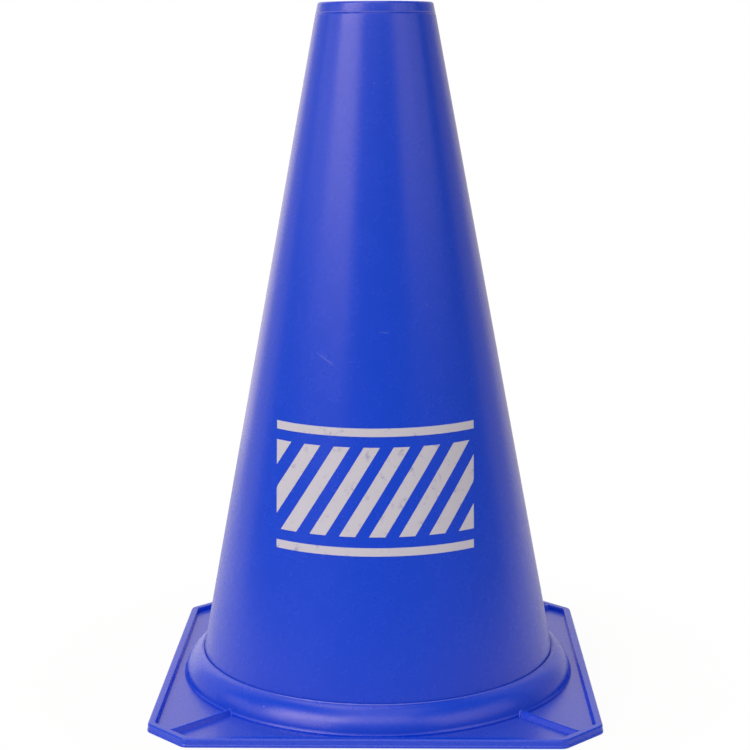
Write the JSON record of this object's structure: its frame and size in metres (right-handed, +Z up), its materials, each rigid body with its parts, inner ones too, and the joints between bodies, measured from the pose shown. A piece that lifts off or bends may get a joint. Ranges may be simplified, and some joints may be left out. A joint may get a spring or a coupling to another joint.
{
  "type": "training marker cone",
  "caption": "Hollow plastic training cone with an open top, a domed collar and a rimmed eight-sided foot.",
  "frame": {"origin": "middle of the face the cone stands on", "axes": "+Z up along the cone's axis, X and Y square to the long sides of the base, -Y towards the printed front"},
  "size_m": [0.146, 0.146, 0.23],
  "materials": {
    "blue_plastic": "semi-gloss moulded polyethylene, royal blue",
    "silver_print": "dull silver-grey printing ink, slightly patchy"
  },
  "bodies": {
    "root": {"cone_body": "blue_plastic", "top_ring": "blue_plastic", "foot_collar": "blue_plastic", "base_plate": "blue_plastic", "edge_rim": "blue_plastic", "rib_front_left": "blue_plastic", "rib_front_right": "blue_plastic", "rib_back_left": "blue_plastic", "rib_back_right": "blue_plastic", "printed_mark": "silver_print"}
  },
  "joints": []
}
